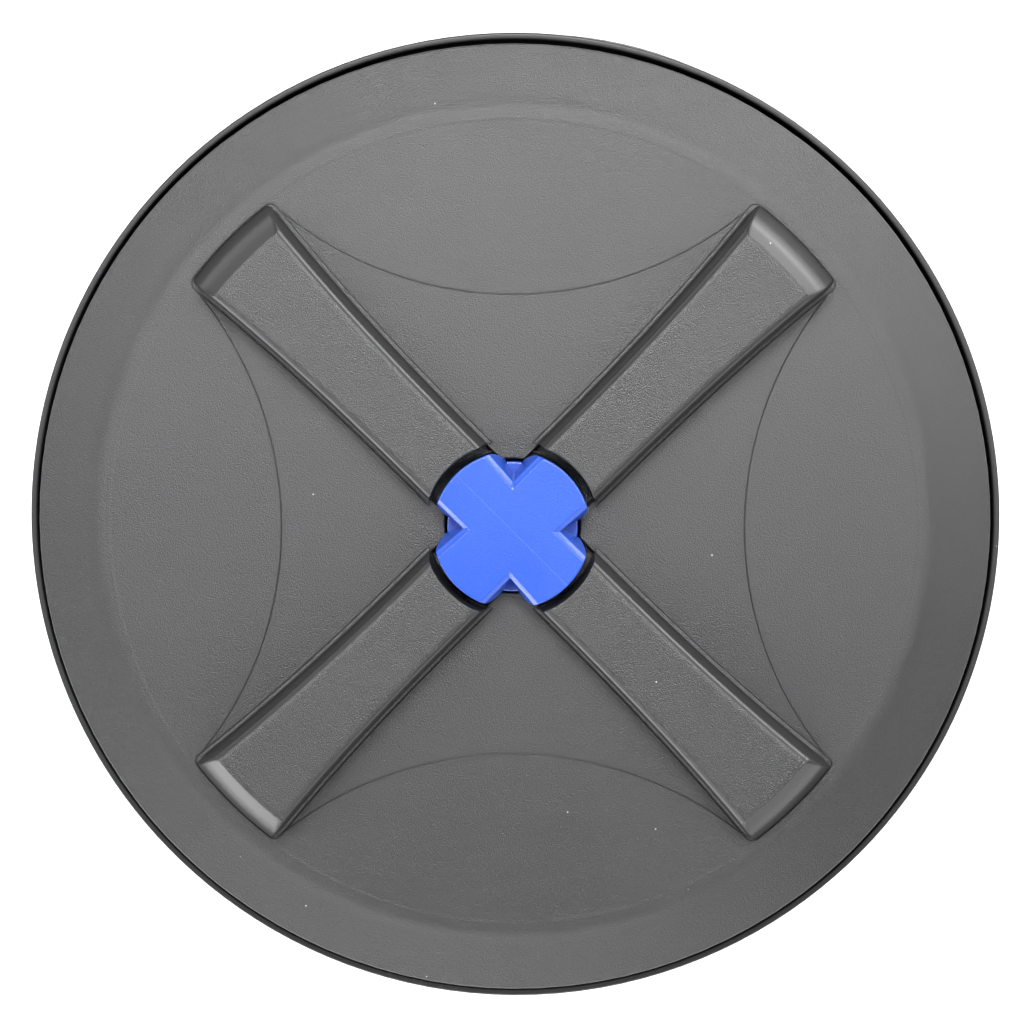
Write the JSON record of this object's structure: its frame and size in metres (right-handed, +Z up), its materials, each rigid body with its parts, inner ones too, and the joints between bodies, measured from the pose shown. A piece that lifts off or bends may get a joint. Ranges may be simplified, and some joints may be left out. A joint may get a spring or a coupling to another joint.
{
  "type": "screw-lid plastic chemical drum",
  "caption": "Upright black plastic drum with rolling hoops, a domed screw lid turned by raised crossed ribs, and a blue vented twist cap in the lid's centre.",
  "frame": {"origin": "centre of the drum's footprint, on the floor", "axes": "+Z up along the drum's axis; +X and +Y lie between neighbouring ribs of the closed lid, so the ribs stand at 45 degrees to both"},
  "size_m": [0.59, 0.59, 0.938],
  "materials": {
    "barrel": "blow-moulded black polyethylene, fine grain, satin",
    "lid": "moulded black polyethylene, fine leathery grain, satin",
    "fitting": "smooth black moulding",
    "cap": "bright royal blue moulding, satin sheen",
    "seal": "matte black elastomer",
    "membrane": "matte white porous film"
  },
  "bodies": {
    "drum": {"drum_body": "barrel"},
    "lid_carrier": {"lid_gasket": "seal"},
    "lid": {"lid": "lid", "cap_neck": "fitting", "neck_gasket": "seal", "neck_locknut": "fitting"},
    "cap_carrier": {"cap_gasket": "seal"},
    "cap": {"twist_cap": "cap", "vent_membrane": "membrane", "vent_retainer": "cap"}
  },
  "joints": [
    {"name": "lid_lift", "type": "slide", "parent": "drum", "child": "lid_carrier", "axis": [0, 0, 1], "range_m": [0, 0.0485]},
    {"name": "lid_turn", "type": "hinge", "parent": "lid_carrier", "child": "lid", "pos_m": [0, 0, 0.87], "axis": [0, 0, 1], "range_deg": [0, 360]},
    {"name": "cap_lift", "type": "slide", "parent": "lid", "child": "cap_carrier", "axis": [0, 0, 1], "range_m": [0, 0.0245]},
    {"name": "cap_turn", "type": "hinge", "parent": "cap_carrier", "child": "cap", "pos_m": [0, 0, 0.9], "axis": [0, 0, 1], "range_deg": [0, 720]}
  ],
  "couplings": [
    {"joint": "lid_lift", "follows": "lid_turn", "m_per_rad": 0.0076394},
    {"joint": "cap_lift", "follows": "cap_turn", "m_per_rad": 0.0019099}
  ]
}
